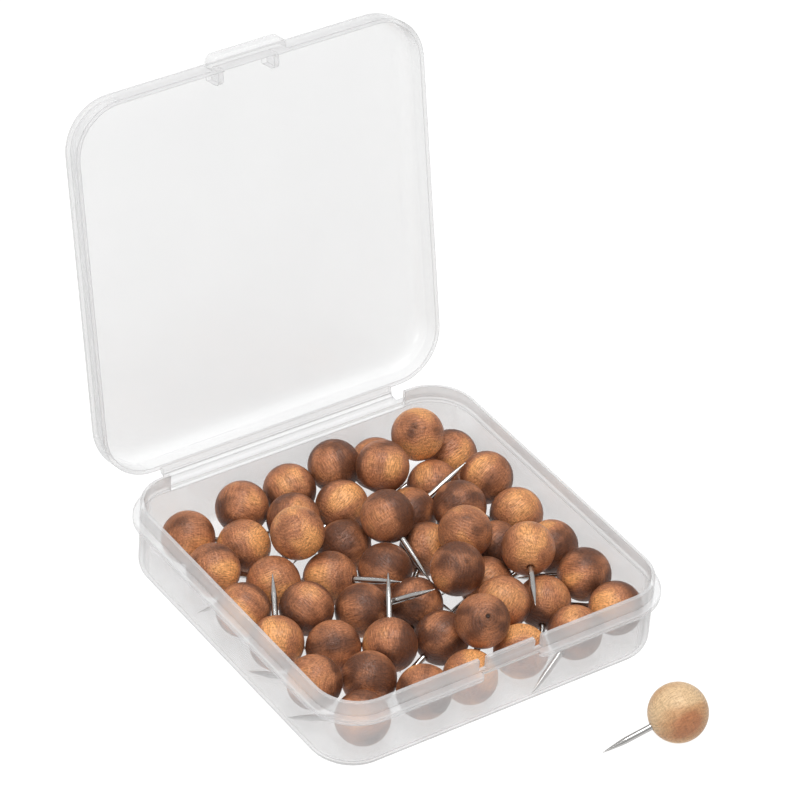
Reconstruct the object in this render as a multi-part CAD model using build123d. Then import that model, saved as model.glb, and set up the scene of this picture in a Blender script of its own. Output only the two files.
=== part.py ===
from build123d import *
import math
import os
from collections import namedtuple

import numpy as np

# A clear hinged case of ball-head push pins, with its lid open and one pin lying in front.
# Millimetres and degrees. X runs along the hinge, -Y is the latch side and Z is up.
# The origin is the middle of the case's underside.

# Base of the case
CASE_SIDE = 73.0  # across the flange, the same both ways
CASE_CORNER = 9.8  # corner radius of the flange
FLANGE_TOP = 12.7  # height of the face that the lid closes on
FLANGE_THICK = 1.25
FLANGE_WIDTH = 1.3  # from the wall to the flange's edge
FLANGE_EDGE = 0.3  # rounding of the flange's edge
WALL = 0.8
FLOOR = 1.0
BASE_ROUND = 2.9  # outer rounding from the wall to the underside
INNER_ROUND = 1.2  # inner rounding from the wall to the floor
LIP_HEIGHT = 2.8  # rim above the flange, which goes inside the closed lid
LIP_THICK = 0.7
LIP_EDGE = 0.2  # rounding along the top of the lip

# Latch at the front of the base
LATCH_GAP = 11.8  # break in the flange under the thumb tab
LATCH_END_ROUND = 0.8  # rounding of the flange where it breaks off
RIDGE_THICK = 0.4  # fine ridge across the break
RIDGE_PROUD = 0.35
BEAD_HEIGHT = 1.2  # snap bead along the top of the lip
BEAD_PROUD = 0.2

# Lid
LID_INSET = 0.2  # from the flange's edge in to the lid's side
LID_DEPTH = 5.9  # from the rim to the outer face
LID_WALL = 0.8
LID_PANEL = 1.0
LID_ROUND = 2.9  # outer rounding from the side to the outer face
RIM_CLEARANCE = 0.12  # between the closed lid's rim and the flange
TAB_LENGTH = 15.6  # thumb tab
TAB_REACH = 2.3
TAB_THICK = 2.8
TAB_ROUND = 1.6
TAB_EDGE = 0.4
BEAD_CLEARANCE = 0.3  # round the bead, inside the lid
FIN_PLACE = 5.8  # middle of each stiffening fin, to either side of the tab's middle
FIN_THICK = 1.0
FIN_REACH = 3.0  # from the lid's side inwards
FIN_RISE = 0.6  # from the rim up to the fin's end
FIN_ROUND = 1.4
FIN_CLEARANCE = 0.3  # each side of the fin, in its slot in the lip

# Hinge
HINGE_LENGTH = 49.6
HINGE_REACH = 1.4  # from the flange's edge to the fold
HINGE_THICK = 0.8  # the two stiff strips that the fold joins
HINGE_RELIEF = 0.6  # how far the wall's top is cut down below the flange, beside the hinge
LIP_BREAK = 50.8  # length of lip that is left out beside the hinge
WEB_THICK = 0.3  # the thin skin that folds
WEB_SPAN = 0.4  # from each strip's end to the fold
LID_OPEN = 102.0  # turn of the lid from closed

# Pins
HEAD_DIAMETER = 9.8  # wooden balls of the pins in the case
FRONT_HEAD_DIAMETER = 10.7  # wooden ball of the pin in front
NEEDLE_DIAMETER = 1.15
NEEDLE_EXPOSED = 9.4  # from the ball's surface to the tip
NEEDLE_SEAT = 4.0  # depth of the needle in the ball
NEEDLE_POINT = 4.6  # length that tapers
TIP_RADIUS = 0.06
SEAT_STEP = 0.2  # how much thinner the needle's radius is in the ball
SEAT_CLEARANCE = 0.02  # round the needle, in its bore
MOUTH_CHAMFER = 0.3  # widening of the bore at the ball's surface

# The pin in front, which lies on its ball and its tip
FRONT_PIN_X = 22.8
FRONT_PIN_Y = -54.3
FRONT_PIN_TURN = 168.5  # heading of its needle, from +X towards +Y

# The heap: where each ball lies, how far it is raised off the floor, and its needle's heading
# and pitch where they show. A pin without an aim is turned to where its needle finds room.
HEAP_CLEARANCE = 0.12  # between two balls
WALL_CLEARANCE = 0.1  # between a ball and the case
NEEDLE_CLEARANCE = 0.2  # between a needle and anything beside it
LIFT = 26.0  # how far an upper pin is lifted out of the case
LIFT_STEP = 1.0
UPPER_RAISED = 6.5  # how far an upper ball starts above the floor

Pin = namedtuple("Pin", "x y raised aim", defaults=(0.0, None))
UPPER_PINS = [
    Pin(22.5, 25.5),
    Pin(11.5, 21.0),
    Pin(4.0, 8.5, aim=(-30, -45)),
    Pin(20.5, -11.5, aim=(-130, -45)),
    Pin(6.5, -10.0),
    Pin(2.0, -24.0, aim=(53, -37)),
]
PIN_ROWS = [
    [
        Pin(16.0, 29.0),
        Pin(6.5, 29.0, 3.0),
        Pin(-3.0, 29.0, 1.5),
        Pin(-13.5, 29.0, 1.5),
        Pin(-25.5, 28.0, aim=(-22, -20)),
        Pin(29.0, 24.5),
        Pin(2.5, 20.5, 1.5),
    ],
    [
        Pin(-8.0, 20.5, 2.5),
        Pin(-18.5, 20.5, 0.5, aim=(29, -21)),
        Pin(-27.5, 16.5, 1.5, aim=(-10, -25)),
        Pin(21.5, 18.5),
        Pin(13.0, 13.5, 0.5, aim=(10, 5)),
        Pin(29.0, 13.0, 2.5),
        Pin(-2.5, 12.0),
    ],
    [
        Pin(18.5, 6.5, 4.5),
        Pin(-19.5, 9.0, 0.5, aim=(160, -20)),
        Pin(-28.5, 5.0, 1.0),
        Pin(-10.0, 5.5, 0.5, aim=(-58, 14)),
        Pin(-12.5, 12.5, 6.5, aim=(53, -40)),
        Pin(10.0, 4.0),
        Pin(-0.5, 2.0, 1.0),
        Pin(29.0, 3.5, 1.0),
    ],
    [
        Pin(-19.0, -0.5, 1.5),
        Pin(21.0, -2.0, 0.5),
        Pin(-28.0, -5.0, 0.5, aim=(65, 15)),
        Pin(-10.0, -5.0, 0.5, aim=(-42, 29)),
        Pin(13.5, -2.0, 6.5, aim=(53, -40)),
        Pin(-0.5, -8.0),
        Pin(13.5, -9.5),
        Pin(29.0, -7.5, 1.0),
    ],
    [
        Pin(-20.0, -11.0, 0.5, aim=(3, -21)),
        Pin(-11.5, -16.0, 1.0, aim=(55, 15)),
        Pin(-29.0, -18.5, 2.0, aim=(120, -15)),
        Pin(-2.0, -18.0),
        Pin(10.5, -19.0, 3.5),
        Pin(19.5, -19.0, aim=(-140, -20)),
        Pin(29.0, -17.5, 1.5),
    ],
    [
        Pin(-19.5, -21.5, 1.0, aim=(-22, -23)),
        Pin(-26.0, -29.0, 0.5, aim=(130, -15)),
        Pin(-13.5, -29.0, 1.0),
        Pin(-3.5, -29.0),
        Pin(8.0, -27.5),
        Pin(19.5, -28.5, 0.5, aim=(-157, -20)),
        Pin(28.5, -27.5, 1.0, aim=(115, -22)),
    ],
]

# Sizes that follow from the ones above
wall_side = CASE_SIDE - 2 * FLANGE_WIDTH
wall_corner = CASE_CORNER - FLANGE_WIDTH
inner_side = wall_side - 2 * WALL
inner_corner = wall_corner - WALL
lip_top = FLANGE_TOP + LIP_HEIGHT
rim = FLANGE_TOP + RIM_CLEARANCE
lid_side = CASE_SIDE - 2 * LID_INSET
lid_corner = CASE_CORNER - LID_INSET
lid_inner_side = lid_side - 2 * LID_WALL
lid_top = rim + LID_DEPTH
ceiling = lid_top - LID_PANEL
fin_low = rim + FIN_RISE
fin_front = -lid_inner_side / 2
slot_width = FIN_THICK + 2 * FIN_CLEARANCE
bead_length = 2 * FIN_PLACE - slot_width
hinge_y = CASE_SIDE / 2 + HINGE_REACH
hinge_z = FLANGE_TOP + RIM_CLEARANCE / 2
needle_reach = HEAD_DIAMETER / 2 + NEEDLE_EXPOSED


def block(x, y, z):
    """A box between two corners, each given as a (low, high) pair along X, Y and Z."""
    size = [high - low for low, high in (x, y, z)]
    middle = [(low + high) / 2 for low, high in (x, y, z)]
    return Pos(*middle) * Box(*size)


def rounded_block(side, corner, low, high):
    """A square block with rounded upright corners, from one height to another."""
    return extrude(Pos(0, 0, low) * RectangleRounded(side, side, corner), high - low)


def case_base():
    """The tray: floor, walls, flange, lip and the base's half of the latch and hinge."""
    tray = rounded_block(wall_side, wall_corner, 0, lip_top)
    tray = fillet(tray.edges().group_by(Axis.Z)[0], BASE_ROUND)
    tray = fillet(tray.edges().group_by(Axis.Z)[-1], LIP_EDGE)

    outline = RectangleRounded(CASE_SIDE, CASE_SIDE, CASE_CORNER)
    outline -= Pos(0, -CASE_SIDE / 2) * Rectangle(LATCH_GAP, 2 * FLANGE_WIDTH)
    front = [v for v in outline.vertices() if abs(v.X) < LATCH_GAP and v.Y < -(CASE_SIDE + wall_side) / 4]
    outline = fillet(front, LATCH_END_ROUND)
    flange = extrude(Pos(0, 0, FLANGE_TOP - FLANGE_THICK) * outline, FLANGE_THICK)
    levels = flange.edges().group_by(Axis.Z)
    rims = [e for e in levels[0] + levels[-1] if abs(e.center().X) > LATCH_GAP / 4 or e.center().Y > 0]
    flange = fillet(rims, FLANGE_EDGE)
    tray += flange

    tray += block(
        (-HINGE_LENGTH / 2, HINGE_LENGTH / 2),
        (wall_side / 2, hinge_y - WEB_SPAN),
        (FLANGE_TOP - HINGE_THICK, FLANGE_TOP),
    )
    tray += block(
        (-LATCH_GAP / 2, LATCH_GAP / 2),
        (-wall_side / 2 - RIDGE_PROUD, -inner_side / 2),
        (FLANGE_TOP - RIDGE_THICK, FLANGE_TOP),
    )
    tray += block(
        (-bead_length / 2, bead_length / 2),
        (-wall_side / 2 - BEAD_PROUD, -wall_side / 2 + LIP_THICK),
        (lip_top - LIP_EDGE - BEAD_HEIGHT, lip_top - LIP_EDGE),
    )

    hollow = rounded_block(inner_side, inner_corner, FLOOR, lip_top + LIP_HEIGHT)
    tray -= fillet(hollow.edges().group_by(Axis.Z)[0], INNER_ROUND)
    lip_hollow = wall_side - 2 * LIP_THICK
    tray -= rounded_block(lip_hollow, wall_corner - LIP_THICK, FLANGE_TOP, lip_top + LIP_HEIGHT)
    tray -= block(
        (-LIP_BREAK / 2, LIP_BREAK / 2),
        (0, wall_side / 2),
        (FLANGE_TOP - HINGE_RELIEF, lip_top + LIP_HEIGHT),
    )
    for side in (-1, 1):
        tray -= block(
            (side * FIN_PLACE - slot_width / 2, side * FIN_PLACE + slot_width / 2),
            (-wall_side / 2 - BEAD_PROUD, -inner_side / 2),
            (fin_low - FIN_CLEARANCE, lip_top + LIP_HEIGHT),
        )
    return tray


def case_lid():
    """The lid, made closed and then turned open about the fold."""
    shell = rounded_block(lid_side, lid_corner, rim, lid_top)
    shell = fillet(shell.edges().group_by(Axis.Z)[-1], LID_ROUND)
    lid = shell + rounded_tab()
    lid += block(
        (-HINGE_LENGTH / 2, HINGE_LENGTH / 2),
        (lid_inner_side / 2, hinge_y - WEB_SPAN),
        (rim, rim + HINGE_THICK),
    )
    hollow = rounded_block(lid_inner_side, lid_corner - LID_WALL, rim - LID_DEPTH, ceiling)
    lid -= fillet(hollow.edges().group_by(Axis.Z)[-1], LID_ROUND - LID_PANEL)
    lid -= block(
        (-bead_length / 2 - BEAD_CLEARANCE, bead_length / 2 + BEAD_CLEARANCE),
        (-wall_side / 2 - BEAD_PROUD - BEAD_CLEARANCE, fin_front),
        (rim - LID_DEPTH, lip_top + BEAD_CLEARANCE),
    )
    for side in (-1, 1):
        fin = block(
            (side * FIN_PLACE - FIN_THICK / 2, side * FIN_PLACE + FIN_THICK / 2),
            (fin_front - LID_WALL / 2, fin_front + FIN_REACH),
            (fin_low, ceiling + LID_PANEL / 2),
        )
        corner = fin.edges().filter_by(Axis.X).sort_by(lambda e: e.center().Z - e.center().Y)[:1]
        lid += fillet(corner, FIN_ROUND) & shell
    fold = Axis((0, hinge_y, hinge_z), (1, 0, 0))
    return lid.rotate(fold, -LID_OPEN)


def rounded_tab():
    """The thumb tab, which stands out from the middle of the lid's front side."""
    outline = Pos(0, -lid_side / 2 + LID_WALL / 2, rim) * RectangleRounded(
        TAB_LENGTH, 2 * TAB_REACH + LID_WALL, TAB_ROUND
    )
    tab = extrude(outline, TAB_THICK)
    edges = tab.edges().group_by(Axis.Z)
    tab = fillet(edges[0] + edges[-1], TAB_EDGE)
    return tab & block((-TAB_LENGTH, TAB_LENGTH), (-CASE_SIDE, fin_front), (0, lid_top))


def hinge_web():
    """The thin skin of the hinge, an arc that runs level out of the base and into the lid."""
    sink = RIM_CLEARANCE / 2 + WEB_THICK / 2
    bend = sink + WEB_SPAN * math.tan(math.radians(LID_OPEN / 2))
    middle = (hinge_y - WEB_SPAN, hinge_z - sink + bend)
    turn = 180 - LID_OPEN
    with BuildPart() as web:
        with BuildSketch(Plane.YZ):
            with BuildLine():
                outer = CenterArc(middle, bend + WEB_THICK / 2, -90, turn)
                inner = CenterArc(middle, bend - WEB_THICK / 2, -90, turn)
                Line(outer @ 0, inner @ 0)
                Line(outer @ 1, inner @ 1)
            make_face()
        extrude(amount=HINGE_LENGTH / 2, both=True)
    return web.part


def pin_head(diameter):
    """A ball about the origin, bored for a needle that leaves it along +Z."""
    radius = diameter / 2
    bore = NEEDLE_DIAMETER / 2 - SEAT_STEP + SEAT_CLEARANCE
    ball = Sphere(radius)
    ball -= Pos(0, 0, radius - NEEDLE_SEAT / 2) * Cylinder(bore, NEEDLE_SEAT)
    mouth = radius - MOUTH_CHAMFER / 2
    ball -= Pos(0, 0, mouth) * Cone(bore, bore + MOUTH_CHAMFER, MOUTH_CHAMFER)
    return ball


def pin_needle(diameter):
    """A needle seated in a ball about the origin, with its long curved point along +Z."""
    radius = NEEDLE_DIAMETER / 2
    seat = radius - SEAT_STEP
    foot = diameter / 2 - NEEDLE_SEAT
    collar = diameter / 2
    tip = diameter / 2 + NEEDLE_EXPOSED
    shoulder = tip - NEEDLE_POINT
    with BuildPart() as needle:
        with BuildSketch(Plane.XZ):
            with BuildLine():
                Polyline((0, tip), (0, foot), (seat, foot), (seat, collar))
                Polyline((seat, collar), (radius, collar), (radius, shoulder))
                swell = (radius + TIP_RADIUS) * 0.62
                ThreePointArc((radius, shoulder), (swell, (shoulder + tip) / 2), (TIP_RADIUS, tip))
                Line((TIP_RADIUS, tip), (0, tip))
            make_face()
        revolve(axis=Axis.Z)
    return needle.part


def heading(turn, pitch):
    """The unit direction of a heading from +X towards +Y and a pitch above level, in degrees."""
    turn, pitch = np.radians(turn), np.radians(pitch)
    return np.stack([np.cos(turn) * np.cos(pitch), np.sin(turn) * np.cos(pitch), np.sin(pitch)], -1)


def lying_pitch(height, reach):
    """The pitch at which a needle of that reach, from a ball centre that high, rests on its tip."""
    return -math.degrees(math.asin(min((height - TIP_RADIUS) / reach, 1.0)))


def case_room(points):
    """The distance from each point to the inside of the closed case, negative outside it."""
    half = inner_side / 2 - inner_corner
    past = np.abs(points[..., :2]) - half
    corner = np.linalg.norm(np.clip(past, 0, None), axis=-1)
    wall = inner_corner - corner - np.clip(past.max(axis=-1), None, 0)
    floor = points[..., 2] - FLOOR
    rounding = INNER_ROUND - np.hypot(INNER_ROUND - wall, INNER_ROUND - floor)
    in_round = (wall < INNER_ROUND) & (floor < INNER_ROUND)
    room = np.where(in_round, rounding, np.minimum(wall, floor))
    beside_fin = np.abs(np.abs(points[..., 0]) - FIN_PLACE) - FIN_THICK / 2
    behind_fin = points[..., 1] - fin_front - FIN_REACH
    below_fin = fin_low - points[..., 2]
    fin = np.maximum(np.maximum(beside_fin, behind_fin), below_fin)
    return np.minimum(np.minimum(room, ceiling - points[..., 2]), fin)


def keep_in_case(centres):
    """Moves ball centres that are too near the walls, floor or closed lid back inside."""
    radius = HEAD_DIAMETER / 2
    reach = inner_side / 2 - radius - WALL_CLEARANCE
    corner = max(inner_corner - radius - WALL_CLEARANCE, 0)
    sides = np.clip(centres[:, :2], -reach, reach)
    past = np.clip(np.abs(sides) - (reach - corner), 0, None)
    length = np.maximum(np.linalg.norm(past, axis=1, keepdims=True), 1e-9)
    pulled = past * np.minimum(1, corner / length)
    kept = np.sign(sides) * (np.abs(sides) - past + pulled)
    low = FLOOR + radius + WALL_CLEARANCE / 2
    height = np.clip(centres[:, 2], low, ceiling - radius - WALL_CLEARANCE)
    return np.column_stack([kept, height])


def settle(centres):
    """Pushes balls apart along the lines between them until they all have room.

    A ball that still finds none is left out. Returns the centres and which balls were kept.
    """
    spacing = HEAD_DIAMETER + HEAP_CLEARANCE
    kept = np.arange(len(centres))
    while True:
        for _ in range(900):
            centres = keep_in_case(centres)
            offset = centres[:, None] - centres[None]
            apart = np.linalg.norm(offset, axis=2) + np.eye(len(centres)) * 10 * spacing
            overlap = np.clip(spacing - apart, 0, None)
            centres = centres + 0.35 * (offset * (overlap / apart)[..., None]).sum(axis=1)
        centres = keep_in_case(centres)
        if overlap.max() < HEAP_CLEARANCE / 3:
            return centres, kept
        stay = np.arange(len(centres)) != overlap.sum(axis=1).argmax()
        centres, kept = centres[stay], kept[stay]


def drop(centres, count):
    """Lowers the first balls straight down until each rests on those below it."""
    spacing = HEAD_DIAMETER + HEAP_CLEARANCE
    for i in range(count):
        others = np.delete(centres, i, axis=0)
        level = np.linalg.norm(others[:, :2] - centres[i, :2], axis=1)
        under = (level < spacing) & (others[:, 2] < centres[i, 2])
        rests = others[under, 2] + np.sqrt(spacing**2 - level[under] ** 2)
        if len(rests):
            centres[i, 2] = rests.max()
    return keep_in_case(centres)


def segment_gap(points, starts, ends):
    """The distance from each point to the nearest of the straight lines from starts to ends."""
    along = ends - starts
    share = ((points[..., None, :] - starts) * along).sum(-1) / (along**2).sum(-1)
    nearest = starts + np.clip(share, 0, 1)[..., None] * along
    return np.linalg.norm(points[..., None, :] - nearest, axis=-1).min(axis=-1)


def needle_room(i, aims, centres, needles, upper):
    """The least gap round pin i's needle for each aim, with the upper pins down and being lifted.

    needles maps a pin that is already turned to its direction; pins below upper are upper pins.
    An aim that is already too tight is not followed further.
    """
    radius = HEAD_DIAMETER / 2
    share = np.linspace(0.02, 1, 24)
    thick = np.minimum(1, (1 - share) * NEEDLE_EXPOSED / NEEDLE_POINT * 1.3) * NEEDLE_DIAMETER / 2
    points = centres[i] + aims[:, None] * (radius + share * NEEDLE_EXPOSED)[None, :, None]
    room = (case_room(points) - thick).min(axis=1)
    level = np.linalg.norm(centres[:, :2] - centres[i, :2], axis=1)
    level[i] = np.inf
    balls = np.flatnonzero(level < needle_reach + HEAD_DIAMETER)
    turned = np.array([j for j in sorted(needles) if level[j] < 2 * needle_reach], dtype=int)
    moves = [(0.0, len(centres))]
    for lift in np.arange(LIFT_STEP, ceiling - FLOOR, LIFT_STEP):
        moves.append((-lift, upper))
        if i < upper:
            moves.append((lift, len(centres)))
    for move, count in moves:
        live = np.flatnonzero(room >= NEEDLE_CLEARANCE)
        moved = points[live] + np.array([0, 0, move])
        near = balls[balls < count]
        if len(near) and len(live):
            gap = np.linalg.norm(moved[..., None, :] - centres[near], axis=-1).min(axis=-1) - radius
            room[live] = np.minimum(room[live], (gap - thick).min(axis=1))
        near = turned[turned < count]
        if len(near) and len(live):
            ways = np.array([needles[j] for j in near])
            gap = segment_gap(moved, centres[near] + ways * radius, centres[near] + ways * needle_reach)
            room[live] = np.minimum(room[live], (gap - thick - NEEDLE_DIAMETER / 2).min(axis=1))
    return room


def turn_needles(pins, centres, upper):
    """Chooses each pin's needle direction.

    A pin with an aim takes the clear direction nearest to it. Any other lies with its tip on the
    floor where it has the most room, or else points as far down as it can.
    """
    turns = np.arange(-180, 180, 7.5)
    pitches = np.arange(-60, 46, 5)
    spread = heading(*[grid.ravel() for grid in np.meshgrid(turns, pitches)])
    cone = np.arange(-24, 25, 4)
    cone_turns, cone_pitches = [grid.ravel() for grid in np.meshgrid(cone, cone)]
    needles = {}
    order = sorted(range(len(pins)), key=lambda i: (i >= upper, pins[i].aim is None))
    for i in order:
        low = lying_pitch(centres[i, 2] - FLOOR - NEEDLE_CLEARANCE, needle_reach)
        lying = heading(turns, np.full(len(turns), low))
        aims = np.concatenate([lying, spread])
        if pins[i].aim:
            aims = np.concatenate([heading(pins[i].aim[0] + cone_turns, pins[i].aim[1] + cone_pitches), aims])
        room = needle_room(i, aims, centres, needles, upper)
        clear = np.flatnonzero(room >= NEEDLE_CLEARANCE)
        if len(clear) == 0:
            continue
        if pins[i].aim:
            best = clear[(aims[clear] @ heading(*pins[i].aim)).argmax()]
        elif (clear < len(lying)).any():
            best = clear[np.where(clear < len(lying), room[clear], -1).argmax()]
        else:
            best = clear[aims[clear, 2].argmin()]
        needles[i] = aims[best]
    return needles


def heap():
    """Lays out the pins in the case: a list of (group, centre, needle direction)."""
    groups = [("upper", pin) for pin in UPPER_PINS]
    for row, row_pins in enumerate(PIN_ROWS, 1):
        groups += [(row, pin) for pin in row_pins]
    low = FLOOR + HEAD_DIAMETER / 2
    raised = [UPPER_RAISED if group == "upper" else pin.raised for group, pin in groups]
    places = np.array([(pin.x, pin.y, low + up) for (_, pin), up in zip(groups, raised)])
    centres, kept = settle(places)
    groups = [groups[k] for k in kept]
    upper = sum(group == "upper" for group, _ in groups)
    centres = drop(centres, upper)
    needles = turn_needles([pin for _, pin in groups], centres, upper)
    return [(groups[i][0], centres[i], needles[i]) for i in sorted(needles)]


def placed(solid, centre, direction):
    """A copy of a solid, moved to a centre with its +Z along a direction."""
    return Plane(origin=tuple(centre), z_dir=tuple(direction)).location * solid


def save(name, solids):
    """Writes one node: a single solid, or a group of like solids."""
    node = solids[0] if len(solids) == 1 else Compound(children=solids)
    export_step(node, f"parts/{name}.step")


os.makedirs("parts", exist_ok=True)
save("case_base", [case_base()])
save("case_lid", [case_lid()])
save("hinge_web", [hinge_web()])

head = pin_head(HEAD_DIAMETER)
needle = pin_needle(HEAD_DIAMETER)
pins = heap()
upper_pins = [pin for pin in pins if pin[0] == "upper"]
for number, (_, centre, direction) in enumerate(upper_pins, 1):
    save(f"upper_pin_{number}_head", [placed(head, centre, direction)])
    save(f"upper_pin_{number}_needle", [placed(needle, centre, direction)])
for row in range(1, len(PIN_ROWS) + 1):
    row_pins = [pin for pin in pins if pin[0] == row]
    if row_pins:
        save(f"row_{row}_heads", [placed(head, centre, direction) for _, centre, direction in row_pins])
        save(f"row_{row}_needles", [placed(needle, centre, direction) for _, centre, direction in row_pins])

front_radius = FRONT_HEAD_DIAMETER / 2
front_centre = (FRONT_PIN_X, FRONT_PIN_Y, front_radius)
front_pitch = lying_pitch(front_radius, front_radius + NEEDLE_EXPOSED)
front_direction = heading(FRONT_PIN_TURN, front_pitch)
save("front_pin_head", [placed(pin_head(FRONT_HEAD_DIAMETER), front_centre, front_direction)])
save("front_pin_needle", [placed(pin_needle(FRONT_HEAD_DIAMETER), front_centre, front_direction)])
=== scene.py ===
import math

import bpy
import numpy as np
from bpy.props import FloatProperty, FloatVectorProperty, IntProperty, PointerProperty
from bpy.types import Operator, Panel, PropertyGroup
from mathutils import Matrix, Vector


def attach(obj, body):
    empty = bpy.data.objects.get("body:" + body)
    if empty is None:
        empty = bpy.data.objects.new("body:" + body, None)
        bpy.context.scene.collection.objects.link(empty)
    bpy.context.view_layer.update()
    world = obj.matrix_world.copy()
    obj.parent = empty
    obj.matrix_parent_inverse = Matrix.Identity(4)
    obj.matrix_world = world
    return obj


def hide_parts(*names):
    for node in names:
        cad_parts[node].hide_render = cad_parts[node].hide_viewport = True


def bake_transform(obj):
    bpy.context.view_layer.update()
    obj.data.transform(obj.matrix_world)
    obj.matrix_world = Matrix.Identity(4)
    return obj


bl_info = {
    "name": "Push pin set",
    "version": (1, 0, 0),
    "blender": (4, 5, 0),
    "location": "View3D > Sidebar > Push pins",
    "description": "Dresses a hinged case of wooden push pins",
    "category": "Object",
}

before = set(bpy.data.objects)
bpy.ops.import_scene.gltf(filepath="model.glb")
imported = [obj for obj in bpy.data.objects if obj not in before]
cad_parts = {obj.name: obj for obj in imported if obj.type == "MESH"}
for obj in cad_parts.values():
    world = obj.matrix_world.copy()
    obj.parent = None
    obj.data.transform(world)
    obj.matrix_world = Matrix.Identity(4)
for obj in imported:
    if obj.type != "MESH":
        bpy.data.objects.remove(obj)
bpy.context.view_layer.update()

MM = 0.001
ROWS = [f"row_{k}" for k in range(1, 7)]
UPPER_PINS = [f"upper_pin_{k}" for k in range(1, 7)]
FRONT_PIN = "front_pin"
PITH_PIN = "upper_pin_6"  # its head shows the pith of the tree and the lathe's centre
FRONT = (-0.48, -0.64, 0.60)  # direction of the side that the photo shows
HEAD_SEED, FRONT_HEAD_SEED, NEEDLE_SEED = 11, 5, 3  # so that each run draws the same
NO_RIM = 1.0  # a height above the whole lid, which has no thick rim

# Stain of each head, from dark at 0 to golden at 1, from left to right in a row.
STAINS = {
    "row_1": (0.52, 0.52, 0.45, 0.38, 0.52, 0.25, 0.38),
    "row_2": (0.52, 0.32, 0.25, 0.52, 0.38, 0.45, 0.38),
    "row_3": (0.52, 0.52, 0.75, 0.52, 0.52, 0.25, 0.52, 0.38),
    "row_4": (0.52, 0.38, 0.32, 0.25, 0.52, 0.25, 0.52, 0.38),
    "row_5": (0.52, 0.45, 0.25, 0.32, 0.52, 0.38, 0.32),
    "row_6": (0.52, 0.38, 0.38, 0.75, 0.38, 0.75, 0.38),
    "upper_pin_1": (0.68,),
    "upper_pin_2": (0.52,),
    "upper_pin_3": (0.28,),
    "upper_pin_4": (0.72,),
    "upper_pin_5": (0.28,),
    "upper_pin_6": (0.42,),
}
LIGHT_STAIN = 0.5  # heads above it count as lightly stained
# Stain, turn in degrees, distance from the pith in millimetres and lathe mark of the head in front.
FRONT_LOOK = (0.6, 120, 5.0, 0.0)


class HeadSettings(PropertyGroup):
    """Sizes and stains of the wooden heads."""

    diameter: FloatProperty(
        name="Head diameter", description="Diameter of a head in the case",
        default=9.8 * MM, unit="LENGTH",
    )
    front_diameter: FloatProperty(
        name="Front head diameter", description="Diameter of the head in front",
        default=10.7 * MM, unit="LENGTH",
    )
    bore: FloatProperty(
        name="Bore radius", description="Radius of the hole for the needle",
        default=0.6 * MM, unit="LENGTH",
    )
    bore_depth: FloatProperty(
        name="Bore depth", description="How far the needle goes into the head",
        default=4.0 * MM, unit="LENGTH",
    )
    mouth: FloatProperty(
        name="Mouth", description="Width of the bevel round the bore",
        default=0.22 * MM, unit="LENGTH",
    )
    unevenness: FloatProperty(
        name="Unevenness", description="Share of the radius that turning and sanding take off",
        default=0.006,
    )
    sides: IntProperty(name="Sides", description="Faces round each head", default=56, min=12)
    dark: FloatVectorProperty(
        name="Dark stain", description="Where the stain soaks in",
        default=(0.14, 0.050, 0.023), subtype="COLOR",
    )
    middle: FloatVectorProperty(
        name="Middle stain", description="Most of a head",
        default=(0.46, 0.18, 0.080), subtype="COLOR",
    )
    golden: FloatVectorProperty(
        name="Golden streak", description="Where the stain hardly takes",
        default=(0.85, 0.395, 0.145), subtype="COLOR",
    )
    grain: FloatProperty(
        name="Grain", description="How much the grain shows", default=1.0, subtype="FACTOR"
    )
    ends: FloatProperty(
        name="End grain", description="Change of the stain at the two poles", default=-0.28
    )
    flanks: FloatProperty(
        name="Flanks", description="Change of the stain on the light flanks", default=0.30
    )
    pale_dark: FloatVectorProperty(
        name="Pale head, reddish", description="Reddish patch of the head in front",
        default=(0.46, 0.19, 0.085), subtype="COLOR",
    )
    pale_middle: FloatVectorProperty(
        name="Pale head", description="Most of the head in front",
        default=(0.58, 0.32, 0.155), subtype="COLOR",
    )
    pale_light: FloatVectorProperty(
        name="Pale head, light", description="Bare patch of the head in front",
        default=(0.74, 0.51, 0.29), subtype="COLOR",
    )
    pale_grain: FloatProperty(
        name="Pale grain", description="How much the grain of the head in front shows",
        default=0.45, subtype="FACTOR",
    )
    pale_ends: FloatProperty(
        name="Pale end grain", description="Change of its stain at the two poles", default=0.1
    )
    pale_flanks: FloatProperty(
        name="Pale flanks", description="Change of its stain on the light flanks", default=0.4
    )


class NeedleSettings(PropertyGroup):
    """Sizes and colour of the steel needles."""

    diameter: FloatProperty(
        name="Needle diameter", description="Diameter of the wire",
        default=1.15 * MM, unit="LENGTH",
    )
    exposed: FloatProperty(
        name="Exposed length", description="From the head to the tip",
        default=9.4 * MM, unit="LENGTH",
    )
    point: FloatProperty(
        name="Point length", description="Length of the point", default=4.6 * MM, unit="LENGTH"
    )
    tip: FloatProperty(
        name="Tip radius", description="Radius of the very tip", default=0.06 * MM, unit="LENGTH"
    )
    taper: FloatProperty(
        name="Taper", description="How late the point narrows, 1 for a straight cone", default=1.35
    )
    sides: IntProperty(name="Sides", description="Faces round each needle", default=28, min=8)
    steel: FloatVectorProperty(
        name="Steel", description="Colour of the polished wire",
        default=(0.58, 0.57, 0.555), subtype="COLOR",
    )


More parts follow.
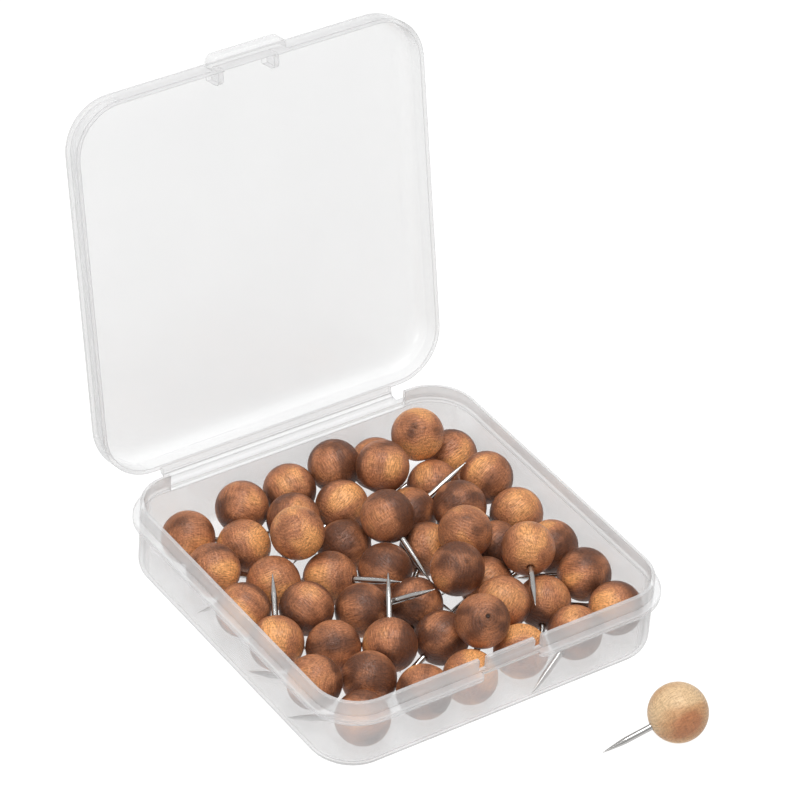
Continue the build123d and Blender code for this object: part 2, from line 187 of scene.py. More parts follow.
class CaseSettings(PropertyGroup):
    """Finish of the frosted case, and its hinge."""

    veil: FloatVectorProperty(
        name="Veil", description="Colour of the milky plastic",
        default=(0.735, 0.737, 0.740), subtype="COLOR",
    )
    cover: FloatProperty(
        name="Cover", description="Share of the light that a surface stops, seen straight on",
        default=0.37, subtype="FACTOR",
    )
    lid_cover: FloatProperty(
        name="Lid cover", description="The same for the lid, whose panel is thicker",
        default=0.38, subtype="FACTOR",
    )
    edge_cover: FloatProperty(
        name="Edge cover", description="Share of the light that a surface stops, seen along it",
        default=0.95, subtype="FACTOR",
    )
    # Painted shade: sharp edges are darkened in the colour, for the grey lines along the plastic's
    # edges.
    edge_shade: FloatProperty(
        name="Edge shade", description="Brightness of sharp edges beside the rest",
        default=0.66, subtype="FACTOR",
    )
    # Painted shade: how strongly the rounded edge of the underside is greyed in the colour.
    low_edge: FloatProperty(
        name="Low edge", description="How grey the rounded edge of the underside is",
        default=0.8, subtype="FACTOR",
    )
    # Painted shade: brightness of the underside's rounded edge where its painted shade is full.
    low_edge_painted_shade: FloatProperty(
        name="Low edge shade", description="Brightness of that edge where it is all grey",
        default=0.5, subtype="FACTOR",
    )
    floor_share: FloatProperty(
        name="Floor share", description="Cover of the thin floor beside the walls",
        default=0.45, subtype="FACTOR",
    )
    rim: FloatProperty(
        name="Rim", description="Height from which the base is thick and milky",
        default=11.9 * MM, unit="LENGTH",
    )
    rim_cover: FloatProperty(
        name="Rim cover", description="Share of the light that the thick rim stops",
        default=0.48, subtype="FACTOR",
    )
    shadow: FloatProperty(
        name="Shadow", description="Share of the cover that casts a shadow",
        default=0.15, subtype="FACTOR",
    )
    fold: FloatVectorProperty(
        name="Fold", description="Y and Z of the line that the lid turns about",
        default=(37.9 * MM, 12.76 * MM), size=2, unit="LENGTH",
    )
    lid_open: FloatProperty(
        name="Lid open", description="Turn of the lid from closed",
        default=math.radians(102), subtype="ANGLE",
    )
    hinge_length: FloatProperty(
        name="Hinge length", description="Length of the hinge",
        default=49.6 * MM, unit="LENGTH",
    )
    skin_thickness: FloatProperty(
        name="Hinge skin", description="Thickness of the skin that folds",
        default=0.3 * MM, unit="LENGTH",
    )
    skin_span: FloatProperty(
        name="Skin span", description="From each strip's end to the fold",
        default=0.4 * MM, unit="LENGTH",
    )
    rim_gap: FloatProperty(
        name="Rim gap", description="Gap between the closed lid and the flange",
        default=0.12 * MM, unit="LENGTH",
    )


class StageSettings(PropertyGroup):
    """Floor, lights and camera."""

    floor: FloatVectorProperty(
        name="Floor", description="Colour of the floor",
        default=(0.14, 0.14, 0.14), subtype="COLOR",
    )
    table: FloatProperty(
        name="Table", description="How bright the lit floor looks", default=0.94
    )
    table_light: FloatProperty(
        name="Table light", description="Light that comes up through the floor", default=0.74
    )
    key: FloatProperty(
        name="Key light", description="Power of the large light overhead",
        default=3.2, unit="POWER",
    )
    key_place: FloatVectorProperty(
        name="Key place", description="Where the light overhead is",
        default=(-0.06, -0.06, 0.74), subtype="TRANSLATION", unit="LENGTH",
    )
    fill: FloatProperty(
        name="Fill light", description="Power of the light beside the camera",
        default=1.7, unit="POWER",
    )
    fill_place: FloatVectorProperty(
        name="Fill place", description="Where the light beside the camera is",
        default=(-0.72, -0.66, 0.42), subtype="TRANSLATION", unit="LENGTH",
    )
    light_size: FloatProperty(
        name="Light size", description="Side of each square light", default=0.36, unit="LENGTH"
    )
    room: FloatProperty(
        name="Room light", description="Brightness of the pale room overhead", default=0.68
    )
    horizon: FloatProperty(
        name="Horizon", description="Share of the room's light that comes from low down",
        default=0.32, subtype="FACTOR",
    )
    camera_place: FloatVectorProperty(
        name="Camera place", description="Where the camera stands",
        default=(-0.37925, -0.50486, 0.51888), subtype="TRANSLATION", unit="LENGTH",
    )
    azimuth: FloatProperty(
        name="Azimuth", description="Turn of the camera round the case",
        default=math.radians(-36.80), subtype="ANGLE",
    )
    elevation: FloatProperty(
        name="Elevation", description="Height of the camera",
        default=math.radians(36.85), subtype="ANGLE",
    )
    roll: FloatProperty(
        name="Roll", description="Tilt of the camera about its view",
        default=math.radians(4.397), subtype="ANGLE",
    )
    lens: FloatProperty(name="Lens", description="Focal length in millimetres", default=205.63)


class PushPinSettings(PropertyGroup):
    """All that a user would change about the set."""

    heads: PointerProperty(type=HeadSettings)
    needles: PointerProperty(type=NeedleSettings)
    case: PointerProperty(type=CaseSettings)
    stage: PointerProperty(type=StageSettings)


def solids_of(node):
    """The separate solids of a CAD node, each as an array of its corner points, sorted along X.

    Corners at the same place, to a ten-thousandth of a millimetre, count as one. Each takes the
    lowest number that its triangles hold, again and again, until a whole solid has one number.
    """
    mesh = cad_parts[node].data
    mesh.calc_loop_triangles()
    corners = np.empty(len(mesh.vertices) * 3, np.float32)
    mesh.vertices.foreach_get("co", corners)
    corners = corners.reshape(-1, 3).astype(float)
    triangles = np.empty(len(mesh.loop_triangles) * 3, np.int32)
    mesh.loop_triangles.foreach_get("vertices", triangles)
    rounded = np.round(corners / MM, 4)
    _, first, same = np.unique(rounded, axis=0, return_index=True, return_inverse=True)
    triangles = same.ravel()[triangles].reshape(-1, 3)
    number = np.arange(len(first))
    while True:
        lower = number.copy()
        np.minimum.at(lower, triangles, number[triangles].min(axis=1, keepdims=True))
        lower = lower[lower]
        if (lower == number).all():
            break
        number = lower
    points = corners[first]
    found = [points[number == k] for k in np.unique(number)]
    return sorted(found, key=lambda solid: solid[:, 0].mean())


def pin_lines(node):
    """Tip and direction of each needle in a node.

    The direction is the longest spread of a needle's points, from the middle of its foot to the
    middle of its tip, and the tip is the end where the points lie closest together.
    """
    reach = 0.01 * MM
    tips, directions = [], []
    for points in solids_of(node):
        middle = points.mean(axis=0)
        spread = np.linalg.svd(points - middle)[2][0]
        along = (points - middle) @ spread
        ends = [points[along > along.max() - reach], points[along < along.min() + reach]]
        ends.sort(key=lambda end: np.ptp(end, axis=0).max())
        tip, foot = (end.mean(axis=0) for end in ends)
        tips.append(tip)
        directions.append((tip - foot) / np.linalg.norm(tip - foot))
    return np.array(tips), np.array(directions)


def pin_axes(directions):
    """Three unit vectors for each direction, as columns: two across it and the direction itself."""
    lying = np.abs(directions[:, 2:]) < 0.9
    guide = np.where(lying, [[0.0, 0.0, 1.0]], [[1.0, 0.0, 0.0]])
    across = np.cross(guide, directions)
    across /= np.linalg.norm(across, axis=1, keepdims=True)
    return np.stack([across, np.cross(directions, across), directions], axis=2)


def turned_faces(rings, sides):
    """Faces of a turned shape with a point at each end: a fan, four-sided bands, and a fan.

    Point 0 is the start, then come the rings in order, and the last point is the end.
    """
    k = np.arange(sides)
    after = (k + 1) % sides
    start = np.stack([np.zeros_like(k), 1 + after, 1 + k], axis=1)
    low = 1 + sides * np.arange(rings - 1)[:, None]
    bands = np.stack([low + k, low + after, low + sides + after, low + sides + k], axis=2)
    last = 1 + sides * (rings - 1)
    end = np.stack([last + k, last + after, np.full_like(k, last + sides)], axis=1)
    return start, bands.reshape(-1, 4), end


def turned_points(radius, height, sides):
    """Points of a turned shape: x = radius cos(turn), y = radius sin(turn), z = height.

    The first and last heights are its two end points. Radius and height may vary with the turn.
    """
    turn = np.linspace(0, 2 * math.pi, sides, endpoint=False)
    x, y = radius * np.cos(turn), radius * np.sin(turn)
    ring = np.stack(np.broadcast_arrays(x, y, height), axis=-1)
    count = ring.shape[-3]
    inner = ring[..., 1:count - 1, :, :]
    flat = inner.reshape(*inner.shape[:-3], -1, 3)
    ends = ring[..., (0, count - 1), 0, :] * [0, 0, 1]
    return np.concatenate([ends[..., :1, :], flat, ends[..., 1:, :]], axis=-2)


def piece(name, points, faces, body, node, slot, material, **attributes):
    """A new smooth piece that stands for a CAD node and rides on its body, if one is given.

    Attributes hold one value for each point.
    """
    mesh = bpy.data.meshes.new(name)
    mesh.from_pydata(points.tolist(), [], [face for group in faces for face in group.tolist()])
    mesh.update()
    for key, values in attributes.items():
        kind, field = ("FLOAT_VECTOR", "vector") if values.ndim == 2 else ("FLOAT", "value")
        data = mesh.attributes.new(key, kind, "POINT").data
        data.foreach_set(field, values.astype(np.float32).ravel())
    mesh.polygons.foreach_set("use_smooth", np.ones(len(mesh.polygons), bool))
    mesh.materials.append(material)
    made = bpy.data.objects.new(name, mesh)
    bpy.context.scene.collection.objects.link(made)
    if body:
        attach(made, body)
    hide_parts(node)
    return made


def copies(faces, count, size):
    """The same faces again for each of several equal shapes in one mesh."""
    first = size * np.arange(count)[:, None, None]
    return [(face[None] + first).reshape(-1, face.shape[1]) for face in faces]


def head_profile(diameter, settings):
    """Radius and height of a bored ball: from the bottom of the bore, up its wall, over the bevel
    of its mouth and round the ball to the far pole."""
    rings, crowding = 38, 1.08  # the rings of the ball lie a little closer near the mouth
    ball = diameter / 2
    bore, bevel = settings.bore, settings.mouth
    mouth = math.asin((bore + bevel) / ball)
    angle = mouth + (math.pi - mouth) * np.linspace(0, 1, rings) ** crowding
    rim = ball * math.cos(mouth)
    foot = ball - settings.bore_depth
    # One point between the bore's wall and the ball rounds the bevel.
    inside_radius = [0, bore, bore, bore, bore + 0.6 * bevel]
    inside_height = [foot, foot, foot + 0.1 * MM, rim - bevel, rim - 0.25 * bevel]
    radius = np.concatenate([inside_radius, ball * np.sin(angle[:-1]), [0]])
    height = np.concatenate([inside_height, ball * np.cos(angle)])
    return radius, height


def head_shapes(diameter, count, settings, chance):
    """Points of several bored balls about the origin, needles along +Z.

    Each radius loses a little: a share of half of 1 + cos(2 turn + a) times the square of the sine
    of the angle from the needle, and a share of half of 1 + cos(3 angle + b), with a and b by
    chance.
    """
    oval_share, band_share = 0.6, 0.4
    radius, height = head_profile(diameter, settings)
    turn = np.linspace(0, 2 * math.pi, settings.sides, endpoint=False)
    angle = np.arctan2(radius, height)[None, :, None]
    lean, wave = chance.uniform(0, 2 * math.pi, (2, count, 1, 1))
    oval = (1 + np.cos(2 * turn + lean)) / 2 * np.sin(angle) ** 2
    bands = (1 + np.cos(3 * angle + wave)) / 2
    keep = 1 - settings.unevenness * (oval_share * oval + band_share * bands)
    return turned_points(radius[None, :, None] * keep, height[None, :, None] * keep, settings.sides)


def wooden_heads(pin, body, head_node, needle_node, diameter, slot, material, looks, chance):
    """One piece with the head of every pin in a node, each where its needle says, with its grain.

    A look is the stain, the turn of the light flank from the front about the needle in degrees, the
    distance in millimetres from the pith of the tree, and how plain the lathe's mark is.
    """
    settings = bpy.context.scene.push_pins.heads
    exposed = bpy.context.scene.push_pins.needles.exposed
    tips, directions = pin_lines(needle_node)
    centres = tips - directions * (diameter / 2 + exposed)
    count = len(tips)
    local = head_shapes(diameter, count, settings, chance)
    axes = pin_axes(directions)
    points = centres[:, None] + np.einsum("nij,nkj->nki", axes, local)
    stain, turn, pith, mark = np.array(looks, float).T[:, :, None]
    front = np.einsum("nij,i->nj", axes, FRONT)[:, :, None]
    turn = np.radians(turn) - np.arctan2(front[:, 1], front[:, 0])
    x = local[..., 0] * np.cos(turn) - local[..., 1] * np.sin(turn)
    y = local[..., 0] * np.sin(turn) + local[..., 1] * np.cos(turn)
    z = local[..., 2]
    timber = 400  # millimetres of wood that the heads are cut from, at any place along it
    along = chance.uniform(0, timber, (count, 1))
    grain = np.stack([x / MM + pith, y / MM, z / MM + along], axis=2)
    ball = np.stack([x, y, z], axis=2) * 2 / diameter
    each = np.ones(local.shape[1])
    rings = (local.shape[1] - 2) // settings.sides
    faces = copies(turned_faces(rings, settings.sides), count, local.shape[1])
    piece(
        f"{pin}_wood", points.reshape(-1, 3), faces, body, head_node, slot, material,
        grain=grain.reshape(-1, 3), ball=ball.reshape(-1, 3),
        stain=(stain * each).ravel(), mark=(mark * each).ravel(),
    )


def needle_profile(diameter, settings, seat):
    """Radius and height of a needle about its head's middle: a plain wire from its foot in the
    head, then a point that starts along the wire and narrows ever faster, as 1 less a power of t
    does from t = 0 to 1."""
    steps = 14
    wire = settings.diameter / 2
    foot = diameter / 2 - seat
    tip = diameter / 2 + settings.exposed
    shoulder = tip - settings.point
    edge, blunt, round_end = 0.05 * MM, 0.03 * MM, 0.01 * MM
    t = np.linspace(0, 1, steps)
    narrowed = settings.tip + (wire - settings.tip) * (1 - t ** settings.taper)
    lowered = shoulder + (tip - blunt - shoulder) * t
    wire_radius = [0, wire - edge, wire, wire, wire]
    wire_height = [foot, foot, foot + edge, diameter / 2, (diameter / 2 + shoulder) / 2]
    radius = np.concatenate([wire_radius, narrowed, [0.6 * settings.tip, 0]])
    height = np.concatenate([wire_height, lowered, [tip - round_end, tip]])
    return radius, height


def steel_needles(pin, body, node, diameter, material, chance):
    """One piece with every needle of a node, each along its own line."""
    settings = bpy.context.scene.push_pins.needles
    seat = bpy.context.scene.push_pins.heads.bore_depth
    tips, directions = pin_lines(node)
    radius, height = needle_profile(diameter, settings, seat)
    local = turned_points(radius[:, None], height[:, None], settings.sides)
    centres = tips - directions * height[-1]
    points = centres[:, None] + np.einsum("nij,kj->nki", pin_axes(directions), local)
    count = len(tips)
    coil = 300  # millimetres of wire that the needles are cut from, at any place along it
    drawn = np.broadcast_to(local / MM, points.shape) + chance.uniform(0, coil, (count, 1, 3))
    faces = copies(turned_faces(len(radius) - 2, settings.sides), count, len(local))
    piece(
        f"{pin}_steel", points.reshape(-1, 3), faces, body, node, "needle_steel", material,
        drawn=drawn.reshape(-1, 3),
    )


def hinge_skin(material):
    """The skin of the hinge, which folds between the base and the lid.

    Its section is a band between two arcs about one middle, from straight down at the base round to
    the lid, and it is carried straight along X.
    """
    settings = bpy.context.scene.push_pins.case
    steps, stations = 12, 9  # points on each arc, and sections along the hinge
    crease = math.radians(40)  # a sharper turn than this stays a sharp edge
    half = settings.skin_thickness / 2
    fold_y, fold_z = settings.fold
    sink = settings.rim_gap / 2 + half
    bend = sink + settings.skin_span * math.tan(settings.lid_open / 2)
    middle = np.array([fold_y - settings.skin_span, fold_z - sink + bend])
    angle = np.linspace(-math.pi / 2, math.pi / 2 - settings.lid_open, steps)
    outward = np.stack([np.cos(angle), np.sin(angle)], axis=1)
    outer, inner = middle + (bend + half) * outward, middle + (bend - half) * outward
    section = np.concatenate([outer, inner[::-1]])
    along = np.linspace(-0.5, 0.5, stations) * settings.hinge_length
    loop, count = len(section), len(along)
    x = np.repeat(along, loop)[:, None]
    points = np.concatenate([x, np.tile(section, (count, 1))], axis=1)
    j = np.arange(loop)
    k = loop * np.arange(count - 1)[:, None]
    after = (j + 1) % loop
    sides = np.stack([k + j, k + after, k + loop + after, k + loop + j], axis=2).reshape(-1, 4)
    j = np.arange(len(outer) - 1)
    end = np.stack([j, j + 1, loop - 2 - j, loop - 1 - j], axis=1)
    faces = [sides, end[:, ::-1], end + loop * (count - 1)]
    skin = piece("hinge_skin", points, faces, None, "hinge_web", "case_plastic", material)
    skin.data.set_sharp_from_angle(angle=crease)
    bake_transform(skin)


def link(tree, value, socket):
    """Sets an input to a plain value, or links it to another node's output."""
    if isinstance(value, bpy.types.NodeSocket):
        tree.links.new(value, socket)
    else:
        socket.default_value = value


def add(tree, kind, inputs=(), **settings):
    """A new node with its settings, and its inputs by name or number."""
    node = tree.nodes.new("ShaderNode" + kind)
    for key, value in settings.items():
        setattr(node, key, value)
    for key, value in dict(inputs).items():
        link(tree, value, node.inputs[key])
    return node


def math_node(tree, operation, *values):
    """A sum, product or other operation on numbers."""
    return add(tree, "Math", dict(enumerate(values)), operation=operation).outputs[0]


def product(tree, first, second):
    """One number times another."""
    return math_node(tree, "MULTIPLY", first, second)


def scaled(tree, value, factor, rest):
    """A number times a factor, added to the rest."""
    return math_node(tree, "MULTIPLY_ADD", value, factor, rest)


def larger(tree, first, second):
    """The larger of two numbers."""
    return math_node(tree, "MAXIMUM", first, second)


def ramp(tree, value, low, high, start=0.0, end=1.0):
    """A smooth rise from start to end as a value goes from low to high."""
    inputs = {0: value, 1: low, 2: high, 3: start, 4: end}
    return add(tree, "MapRange", inputs, interpolation_type="SMOOTHSTEP").outputs[0]


def blend(tree, share, first, second, kind="MIX"):
    """A mix of two colours."""
    inputs = {0: share, 6: first, 7: second}
    return add(tree, "Mix", inputs, data_type="RGBA", blend_type=kind).outputs[2]


def noise(tree, place, scale, detail=2.0, roughness=0.5, distortion=0.0):
    """Cloudy noise on a place that is stretched by a scale along each axis."""
    stretched = add(tree, "VectorMath", {0: place, 1: scale}, operation="MULTIPLY").outputs[0]
    inputs = {
        "Vector": stretched, "Scale": 1.0,
        "Detail": detail, "Roughness": roughness, "Distortion": distortion,
    }
    return add(tree, "TexNoise", inputs).outputs[0]


def attribute(tree, name):
    """A piece's own attribute."""
    return add(tree, "Attribute", attribute_name=name)


def off_axis(tree, place):
    """Distance from the Z axis of a place."""
    flat = add(tree, "VectorMath", {0: place, 1: (1.0, 1.0, 0.0)}, operation="MULTIPLY").outputs[0]
    return add(tree, "VectorMath", {0: flat}, operation="LENGTH").outputs["Value"]


def grey(tree, value):
    """A number as a grey colour."""
    return add(tree, "CombineColor", {0: value, 1: value, 2: value}).outputs[0]


def shaded(tree, body, share):
    """A colour made darker or lighter by a number."""
    return blend(tree, 1.0, body, grey(tree, share), "MULTIPLY")


def bumped(tree, shader, height, strength, distance):
    """Gives a shader a bump from a height."""
    inputs = {"Strength": strength, "Distance": distance, "Height": height}
    link(tree, add(tree, "Bump", inputs).outputs[0], shader.inputs["Normal"])


def skin_of(name):
    """A new material and its shader."""
    material = bpy.data.materials.new(name)
    material.use_nodes = True
    shader = material.node_tree.nodes["Principled BSDF"]
    return material, material.node_tree, shader


def colour(value, share=1.0):
    """A share of a colour, with its fourth number."""
    return (*(Vector(value) * share), 1.0)


def wood(name, dark, middle, light, depth, ends_stain, flank_stain):
    """Turned and stained wood. The stain changes towards the end grain at the two poles and on two
    flanks between them, and it drifts in soft blotches. Growth rings run round the pith, fine pores
    run along the grain, and lathe lines run round the needle's axis. The far pole may have the dark
    mark of the lathe's centre. Depth is how much the grain shows, and the last two are how much the
    stain changes at the ends and on the flanks."""
    material, tree, shader = skin_of(name)
    grain = attribute(tree, "grain").outputs["Vector"]
    ball = attribute(tree, "ball").outputs["Vector"]
    stain = attribute(tree, "stain").outputs["Fac"]
    mark = attribute(tree, "mark").outputs["Fac"]
    x, y, z = add(tree, "SeparateXYZ", {0: ball}).outputs

    blotch = noise(tree, grain, (0.26, 0.26, 0.10), detail=1.0, distortion=0.2)
    fibre = noise(tree, grain, (5.0, 5.0, 0.7), detail=3.0, roughness=0.7)
    pore = ramp(tree, noise(tree, grain, (6.5, 6.5, 1.1), detail=0.5), 0.58, 0.66)
    wobble = noise(tree, grain, (0.5, 0.5, 0.2), detail=1.0)
    ring = product(tree, scaled(tree, wobble, 1.6, off_axis(tree, grain)), 10.0)
    ring = math_node(tree, "SINE", ring)
    lathe = noise(tree, ball, (1.1, 1.1, 20.0), detail=3.0, roughness=0.6)

    # How light the stain is, from 0 to 1.
    ends = product(tree, z, z)
    flank = math_node(tree, "SUBTRACT", product(tree, x, x), product(tree, y, y))
    tone = scaled(tree, ends, ends_stain, stain)
    tone = scaled(tree, flank, flank_stain, tone)
    tone = scaled(tree, math_node(tree, "SUBTRACT", blotch, 0.5), 1.5, tone)
    body = blend(tree, ramp(tree, tone, 0.0, 0.5), colour(dark), colour(middle))
    body = blend(tree, ramp(tree, tone, 0.45, 1.0), body, colour(light))

    # Fibres, growth rings, lathe lines, pores and the lathe's mark.
    fibres = ramp(tree, fibre, 0.25, 0.75, 1 - 0.42 * depth, 1 + 0.36 * depth)
    rings = scaled(tree, ring, scaled(tree, ends, 0.10, 0.03), 1.0)
    lines = ramp(tree, lathe, 0.3, 0.7, 1 - 0.18 * depth, 1 + 0.14 * depth)
    for share in (fibres, rings, lines):
        body = shaded(tree, body, share)
    body = blend(tree, product(tree, pore, 0.34 * depth), body, colour(dark, 0.5))
    far = product(tree, ramp(tree, z, -0.9, -0.95), mark)
    centre = product(tree, far, ramp(tree, off_axis(tree, ball), 0.11, 0.05))
    body = blend(tree, centre, body, colour(dark, 0.2))
    link(tree, body, shader.inputs["Base Color"])

    rough = ramp(tree, fibre, 0.2, 0.8, 0.26, 0.46)
    link(tree, scaled(tree, pore, 0.2, rough), shader.inputs["Roughness"])
    shader.inputs["Specular IOR Level"].default_value = 0.42
    height = scaled(tree, pore, -0.9, fibre)
    height = scaled(tree, lathe, 0.5, height)
    height = scaled(tree, product(tree, ring, ends), 0.25, height)
    height = scaled(tree, centre, -3.0, height)
    bumped(tree, shader, height, 0.7, 0.12 * MM)
    return material


def steel(name, tint):
    """Drawn and polished wire: faint streaks along it, a little rougher in places."""
    material, tree, shader = skin_of(name)
    drawn = attribute(tree, "drawn").outputs["Vector"]
    streak = noise(tree, drawn, (9.0, 9.0, 0.25), detail=3.0)
    wear = noise(tree, drawn, (1.2, 1.2, 0.8), detail=2.0)
    shade = blend(tree, ramp(tree, streak, 0.3, 0.7), colour(tint, 0.86), colour(tint))
    link(tree, shade, shader.inputs["Base Color"])
    shader.inputs["Metallic"].default_value = 1.0
    rough = scaled(tree, streak, 0.10, ramp(tree, wear, 0.3, 0.7, 0.10, 0.18))
    link(tree, rough, shader.inputs["Roughness"])
    bumped(tree, shader, streak, 0.12, 0.01 * MM)
    return material


def frosted_plastic(name, settings, cover, rim, floor_share, low_edge):
    """Milky moulded plastic that lets part of the light through, with a fine frosting, slow waves
    from the mould and a few faint scuffs. It is milkier along edges and above the height of the
    thick rim, and clearer in the thin floor. Its colour has painted shade along sharp edges and
    along the rounded edge of the underside. Low edge is how strong that painted shade is there."""
    material, tree, shader = skin_of(name)
    veil = settings.veil
    place = add(tree, "TexCoord").outputs["Object"]
    height = add(tree, "SeparateXYZ", {0: place}).outputs[2]
    facing = add(tree, "LayerWeight", {"Blend": 0.5}).outputs["Facing"]
    frost = noise(tree, place, (5200.0, 5200.0, 5200.0), detail=2.0)
    flow = noise(tree, place, (60.0, 60.0, 60.0), detail=3.0, distortion=0.6)
    scuff = noise(tree, place, (900.0, 160.0, 420.0), detail=4.0, roughness=0.65)

    # A sharp edge is where a rounded normal leans away from the real one. The low edge is where the
    # normal points down, but not straight down.
    rounded = add(tree, "Bevel", {"Radius": 0.3 * MM}, samples=6).outputs[0]
    straight = add(tree, "NewGeometry").outputs["Normal"]
    lean = add(tree, "VectorMath", {0: rounded, 1: straight}, operation="DOT_PRODUCT")
    corner = ramp(tree, lean.outputs["Value"], 0.99, 0.86)
    down = add(tree, "SeparateXYZ", {0: straight}).outputs[2]
    under = product(tree, ramp(tree, down, -0.18, -0.38), ramp(tree, down, -0.97, -0.90))
    under = product(tree, under, low_edge)

    shade = blend(tree, ramp(tree, flow, 0.3, 0.7), colour(veil, 0.97), colour(veil))
    shade = blend(tree, ramp(tree, scuff, 0.68, 0.8), shade, colour(veil, 0.85))
    # Painted shade: the colour is darker along sharp edges.
    shade = blend(tree, corner, shade, colour(veil, settings.edge_shade))
    # Painted shade: the colour is darker along the rounded edge of the underside.
    shade = blend(tree, under, shade, colour(veil, settings.low_edge_painted_shade))
    link(tree, shade, shader.inputs["Base Color"])
    rough = scaled(tree, frost, 0.04, ramp(tree, flow, 0.3, 0.7, 0.10, 0.15))
    link(tree, rough, shader.inputs["Roughness"])

    # How much each surface hides of what is behind it. Little of it counts for shadows.
    density = ramp(tree, facing, 0.52, 0.92, cover, settings.edge_cover)
    thin = ramp(tree, height, 0.8 * MM, 2.5 * MM, floor_share, 1.0)
    density = product(tree, density, thin)
    edge = larger(tree, larger(tree, corner, under), ramp(tree, facing, 0.74, 0.97))
    density = larger(tree, density, product(tree, edge, 0.9))
    thick = ramp(tree, height, rim, rim + 0.5 * MM, 0.0, settings.rim_cover)
    density = larger(tree, density, thick)
    in_shadow = add(tree, "LightPath").outputs["Is Shadow Ray"]
    passed = scaled(tree, in_shadow, settings.shadow - 1.0, 1.0)
    link(tree, product(tree, density, passed), shader.inputs["Alpha"])
    shader.inputs["IOR"].default_value = 1.49
    shader.inputs["Transmission Weight"].default_value = 0.2
    bumped(tree, shader, flow, 0.10, 0.10 * MM)
    return material


def looks_of(pin, chance):
    """Stain, turn from the front in degrees, distance from the pith in millimetres and lathe mark
    of each head. A lightly stained head has its light flank about to the front, and others have it
    anywhere."""
    stain = np.array(STAINS[pin])
    widest = np.where(stain > LIGHT_STAIN, 25, 180)
    turn = chance.uniform(-1, 1, len(stain)) * widest
    pith = chance.uniform(2.5, 8.0, len(stain))
    mark = chance.choice([0.0, 0.0, 0.4], len(stain))
    if pin == PITH_PIN:
        pith, mark = np.array([[0.4], [1.0]])
    return np.stack([stain, turn, pith, mark], axis=1)


def lit_floor(settings):
    """A pale floor that gives light like a light table, so that no shadow shows on it. It looks a
    little brighter than the light that it casts."""
    half, low = 4.0, -0.2 * MM  # half of its side, and its height
    mesh = bpy.data.meshes.new("floor")
    corners = [(-half, -half, low), (half, -half, low), (half, half, low), (-half, half, low)]
    mesh.from_pydata(corners, [], [(0, 1, 2, 3)])
    material, tree, shader = skin_of("pale_floor")
    place = add(tree, "TexCoord").outputs["Object"]
    cloud = noise(tree, place, (3.0, 3.0, 3.0), detail=2.0)
    shade = blend(tree, cloud, colour(settings.floor, 0.99), colour(settings.floor))
    link(tree, shade, shader.inputs["Base Color"])
    shader.inputs["Roughness"].default_value = 0.8
    shader.inputs["Specular IOR Level"].default_value = 0.2
    shader.inputs["Emission Color"].default_value = (1.0, 1.0, 1.0, 1.0)
    seen = add(tree, "LightPath").outputs["Is Camera Ray"]
    glow = ramp(tree, seen, 0.0, 1.0, settings.table_light, settings.table)
    link(tree, glow, shader.inputs["Emission Strength"])
    mesh.materials.append(material)
    floor = bpy.data.objects.new("floor", mesh)
    bpy.context.scene.collection.objects.link(floor)


def pale_room(settings):
    """The light of a pale room, which is weaker low down."""
    full = 0.55  # height from which the light is full, from 0 at the horizon to 1 overhead
    world = bpy.data.worlds.new("pale_room")
    world.use_nodes = True
    tree = world.node_tree
    place = add(tree, "TexCoord").outputs["Generated"]
    height = add(tree, "SeparateXYZ", {0: place}).outputs[2]
    shade = grey(tree, ramp(tree, height, 0.0, full, settings.horizon, 1.0))
    background = tree.nodes["Background"]
    link(tree, shade, background.inputs["Color"])
    background.inputs["Strength"].default_value = settings.room
    bpy.context.scene.world = world


def area_light(name, place, size, power):
    """A square soft light that faces the case."""
    lamp = bpy.data.lights.new(name, "AREA")
    lamp.shape = "SQUARE"
    lamp.size = size
    lamp.energy = power
    made = bpy.data.objects.new(name, lamp)
    bpy.context.scene.collection.objects.link(made)
    made.location = place
    made.rotation_euler = (-Vector(place)).to_track_quat("-Z", "Y").to_euler()


def photo_camera(settings):
    """A camera at the photo's place, turned by its azimuth, elevation and roll."""
    camera = bpy.data.cameras.new("camera")
    camera.lens = settings.lens
    camera.sensor_width = 36.0
    camera.clip_start, camera.clip_end = 0.05, 20.0
    made = bpy.data.objects.new("camera", camera)
    bpy.context.scene.collection.objects.link(made)
    azimuth, elevation, roll = settings.azimuth, settings.elevation, settings.roll
    flat = math.cos(elevation)
    back = Vector((math.sin(azimuth) * flat, -math.cos(azimuth) * flat, math.sin(elevation)))
    level = (-back).cross(Vector((0, 0, 1))).normalized()
    above = level.cross(-back)
    right = level * math.cos(roll) + above * math.sin(roll)
    up = above * math.cos(roll) - level * math.sin(roll)
    turn = Matrix((right, up, back)).transposed().to_4x4()
    made.matrix_world = Matrix.Translation(settings.camera_place) @ turn
    bpy.context.scene.camera = made


class PINS_OT_heads(Operator):
    """Turns and stains a wooden ball for every pin in the case"""

    bl_idname = "push_pins.heads"
    bl_label = "Wooden heads"

    def execute(self, context):
        settings = context.scene.push_pins.heads
        material = wood(
            "stained_wood", settings.dark, settings.middle, settings.golden,
            settings.grain, settings.ends, settings.flanks,
        )
        chance = np.random.default_rng(HEAD_SEED)
        for row in ROWS:
            wooden_heads(
                row, "base", f"{row}_heads", f"{row}_needles", settings.diameter,
                "stained_wood", material, looks_of(row, chance), chance,
            )
        for pin in UPPER_PINS:
            wooden_heads(
                pin, pin, f"{pin}_head", f"{pin}_needle", settings.diameter,
                "stained_wood", material, looks_of(pin, chance), chance,
            )
        return {"FINISHED"}


class PINS_OT_front_head(Operator):
    """Turns the paler wooden ball of the pin in front"""

    bl_idname = "push_pins.front_head"
    bl_label = "Front head"

    def execute(self, context):
        settings = context.scene.push_pins.heads
        material = wood(
            "pale_wood", settings.pale_dark, settings.pale_middle, settings.pale_light,
            settings.pale_grain, settings.pale_ends, settings.pale_flanks,
        )
        wooden_heads(
            FRONT_PIN, FRONT_PIN, f"{FRONT_PIN}_head", f"{FRONT_PIN}_needle",
            settings.front_diameter, "pale_wood", material, [FRONT_LOOK],
            np.random.default_rng(FRONT_HEAD_SEED),
        )
        return {"FINISHED"}


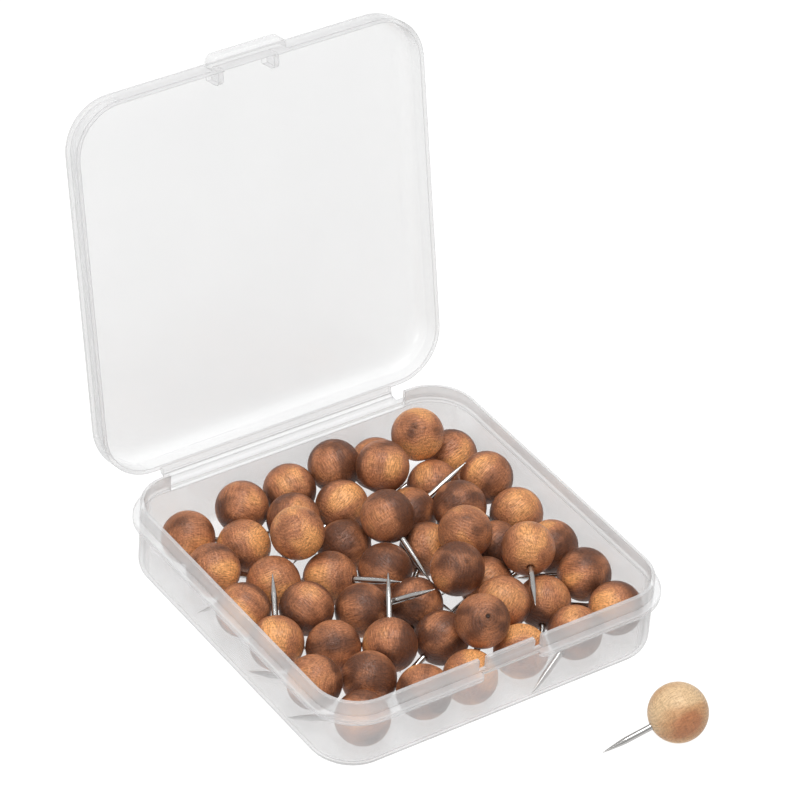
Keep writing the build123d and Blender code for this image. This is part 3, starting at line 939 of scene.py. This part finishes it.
class PINS_OT_needles(Operator):
    """Draws and points a steel needle for every pin"""

    bl_idname = "push_pins.needles"
    bl_label = "Steel needles"

    def execute(self, context):
        heads = context.scene.push_pins.heads
        material = steel("needle_steel", context.scene.push_pins.needles.steel)
        chance = np.random.default_rng(NEEDLE_SEED)
        for row in ROWS:
            steel_needles(row, "base", f"{row}_needles", heads.diameter, material, chance)
        for pin in UPPER_PINS:
            steel_needles(pin, pin, f"{pin}_needle", heads.diameter, material, chance)
        steel_needles(
            FRONT_PIN, FRONT_PIN, f"{FRONT_PIN}_needle", heads.front_diameter, material, chance
        )
        return {"FINISHED"}


class PINS_OT_case(Operator):
    """Gives the case its frosted plastic and makes the skin of its hinge"""

    bl_idname = "push_pins.case"
    bl_label = "Frosted case"

    def execute(self, context):
        settings = context.scene.push_pins.case
        base = frosted_plastic(
            "frosted_base", settings, settings.cover, rim=settings.rim,
            floor_share=settings.floor_share, low_edge=settings.low_edge,
        )
        lid = frosted_plastic(
            "frosted_lid", settings, settings.lid_cover, rim=NO_RIM, floor_share=1.0, low_edge=0.0
        )
        for node, material in (("case_base", base), ("case_lid", lid)):
            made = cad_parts[node]
            made.data.materials.clear()
            made.data.materials.append(material)
        hinge_skin(lid)
        return {"FINISHED"}


class PINS_OT_stage(Operator):
    """Sets up the pale floor, the soft lights and the camera"""

    bl_idname = "push_pins.stage"
    bl_label = "Stage"

    def execute(self, context):
        settings = context.scene.push_pins.stage
        scene = context.scene
        lit_floor(settings)
        pale_room(settings)
        area_light("key_light", settings.key_place, settings.light_size, settings.key)
        area_light("fill_light", settings.fill_place, settings.light_size, settings.fill)
        photo_camera(settings)
        scene.view_settings.view_transform = "Standard"
        scene.view_settings.look = "None"
        scene.cycles.transparent_max_bounces = 48
        scene.cycles.max_bounces = 16
        return {"FINISHED"}


OPERATORS = (PINS_OT_heads, PINS_OT_front_head, PINS_OT_needles, PINS_OT_case, PINS_OT_stage)


class PINS_PT_sidebar(Panel):
    """Lists the pieces of the push pin set"""

    bl_idname = "PINS_PT_sidebar"
    bl_label = "Push pins"
    bl_space_type = "VIEW_3D"
    bl_region_type = "UI"
    bl_category = "Push pins"

    def draw(self, context):
        for operator in OPERATORS:
            self.layout.operator(operator.bl_idname)


SETTINGS = (HeadSettings, NeedleSettings, CaseSettings, StageSettings, PushPinSettings)
CLASSES = (*SETTINGS, *OPERATORS, PINS_PT_sidebar)


def register():
    for kind in CLASSES:
        bpy.utils.register_class(kind)
    bpy.types.Scene.push_pins = PointerProperty(type=PushPinSettings)


def unregister():
    del bpy.types.Scene.push_pins
    for kind in reversed(CLASSES):
        bpy.utils.unregister_class(kind)


def main():
    register()
    bpy.ops.push_pins.heads()
    bpy.ops.push_pins.front_head()
    bpy.ops.push_pins.needles()
    bpy.ops.push_pins.case()
    bpy.ops.push_pins.stage()


if __name__ == "__main__":
    main()
